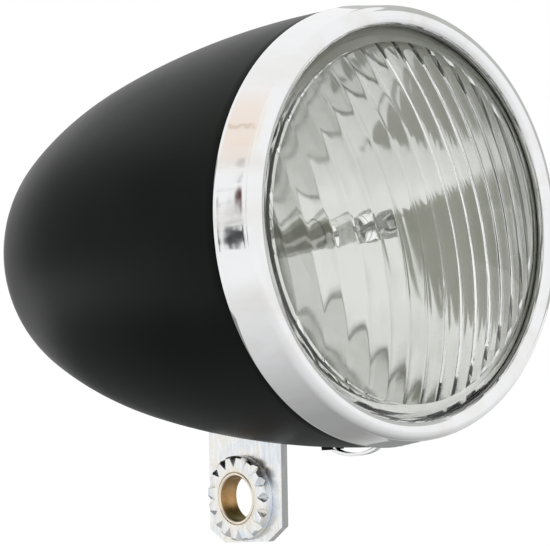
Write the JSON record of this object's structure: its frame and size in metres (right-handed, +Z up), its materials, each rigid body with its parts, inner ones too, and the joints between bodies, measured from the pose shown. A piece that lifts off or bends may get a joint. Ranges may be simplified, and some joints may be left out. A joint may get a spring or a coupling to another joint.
{
  "type": "bicycle headlight",
  "caption": "Bullet-shaped bicycle headlight with a hinged plated bezel, a domed fluted lens and a bracket tab with a serrated rosette.",
  "frame": {"origin": "on the axis of the bracket bush's bore, in the middle of the tab's plate", "axes": "-Y is the way the lamp shines, +Z up, +X along the bore's axis towards the bush's flange"},
  "size_m": [0.08, 0.1081, 0.0964],
  "materials": {
    "black_paint": "satin",
    "zinc": "bright zinc plate",
    "brass": "turned",
    "chrome": "polished",
    "lens_glass": "clear, fluted inside",
    "black_rubber": "matt",
    "mirror_coat": "vapour-coated mirror",
    "spring_steel": "bright",
    "led_epoxy": "clear",
    "tinned_steel": "tinned",
    "white_nylon": "moulded",
    "green_board": "solder mask",
    "tan_ceramic": "lacquered",
    "gilt_brass": "bright",
    "black_plastic": "moulded",
    "cell_jacket": "plain lacquered sleeve",
    "red_insulation": "PVC"
  },
  "bodies": {
    "housing": {"housing_shell": "black_paint", "bracket_tab": "zinc", "bracket_rivets": "black_paint", "rosette": "zinc", "pivot_bush": "brass", "battery_carrier": "black_plastic", "carrier_screws": "black_paint", "battery_cells": "cell_jacket", "cell_plates": "gilt_brass", "cell_springs": "spring_steel", "contact_blades": "gilt_brass", "latch_pin": "spring_steel", "latch_yoke": "black_paint", "switch_body": "black_plastic", "switch_terminals": "gilt_brass", "switch_leads": "red_insulation"},
    "bezel": {"bezel_ring": "chrome", "bezel_hook": "chrome", "bezel_catch": "chrome", "lens": "lens_glass", "lens_seal": "black_rubber", "reflector": "mirror_coat", "retaining_ring": "spring_steel", "led": "led_epoxy", "led_lead_frame": "tinned_steel", "led_sleeve": "white_nylon", "lamp_board": "green_board", "board_screws": "tinned_steel", "resistor": "tan_ceramic", "board_contacts": "gilt_brass"},
    "latch": {"latch_lever": "chrome"},
    "button": {"switch_button": "black_rubber"}
  },
  "joints": [
    {"name": "bezel_hinge", "type": "hinge", "parent": "housing", "child": "bezel", "pos_m": [0, -0.0398, 0.088], "axis": [-1, 0, 0], "range_deg": [0, 40]},
    {"name": "latch_hinge", "type": "hinge", "parent": "housing", "child": "latch", "pos_m": [0, -0.0242, 0.00978], "axis": [1, 0, 0], "range_deg": [0, 12], "stiffness_Nm_per_rad": 0.02},
    {"name": "button_slide", "type": "slide", "parent": "housing", "child": "button", "axis": [0, -0.342, -0.9397], "range_m": [0, 0.0015], "stiffness_N_per_m": 400}
  ]
}
